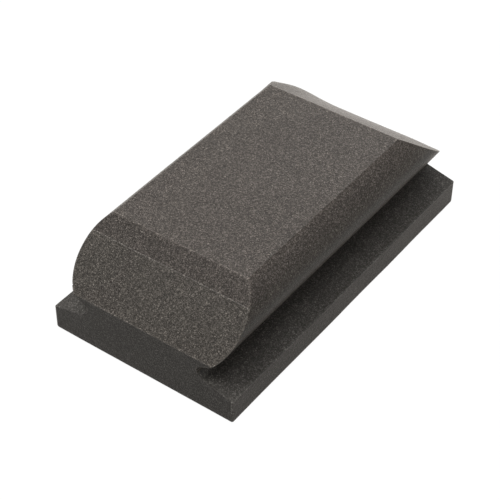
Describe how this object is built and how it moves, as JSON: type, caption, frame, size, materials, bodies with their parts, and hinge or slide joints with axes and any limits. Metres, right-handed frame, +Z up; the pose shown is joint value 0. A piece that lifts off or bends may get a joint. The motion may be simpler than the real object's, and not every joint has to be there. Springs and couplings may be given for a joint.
{
  "type": "sanding block",
  "caption": "Foam hand sanding block: a flat slab under a rounded T-shaped grip with slanted ends, faced with hook sheet below.",
  "frame": {"origin": "centre of the underside, on the hook facing's lower face", "axes": "+Z up from the working face to the palm flat, +X along the block's length towards the end with the longer slant, +Y across the block"},
  "size_m": [0.13, 0.07, 0.04],
  "materials": {
    "foam": "matte",
    "foam_cap": "matte",
    "bond_film": "matte",
    "adhesive_film": "satin",
    "hook_facing": "matte"
  },
  "bodies": {
    "root": {"foam_body": "foam", "foam_cap": "foam_cap", "lamination_film": "bond_film", "facing_adhesive": "adhesive_film", "hook_facing": "hook_facing"}
  },
  "joints": []
}
